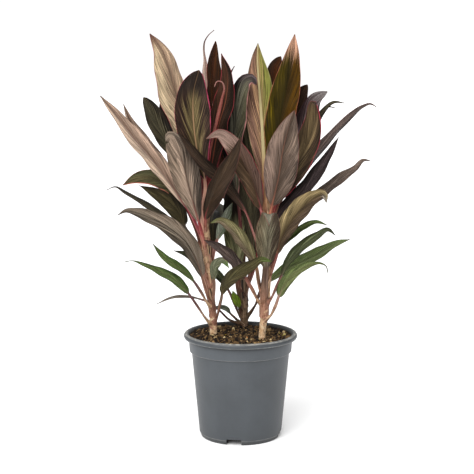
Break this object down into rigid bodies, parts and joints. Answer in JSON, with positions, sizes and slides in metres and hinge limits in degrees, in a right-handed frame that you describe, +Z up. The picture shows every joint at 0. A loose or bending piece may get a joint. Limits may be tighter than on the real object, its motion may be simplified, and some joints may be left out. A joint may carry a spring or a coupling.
{
  "type": "potted ti plant",
  "caption": "Potted ti plant: bare canes with long waved, lance-shaped leaves in dark red, olive and green, rooted in soil in a round grey nursery pot.",
  "frame": {"origin": "centre of the pad under the pot's floor, on the surface that the pot stands on", "axes": "+Z up along the pot's axis; the plant's front, the side of the picture, looks along -Y; +X is to the right as seen from the front"},
  "size_m": [0.4006, 0.3485, 0.6053],
  "materials": {
    "pot_plastic": "satin grey moulded polypropylene",
    "potting_soil": "rough, moist bark and peat mix",
    "foliage": "satin living leaf and cane, dark red-brown to green"
  },
  "bodies": {
    "root": {"pot": "pot_plastic", "soil": "potting_soil", "leafy_stem_left": "foliage", "leafy_stem_right": "foliage", "leafy_stem_back": "foliage"}
  },
  "joints": []
}
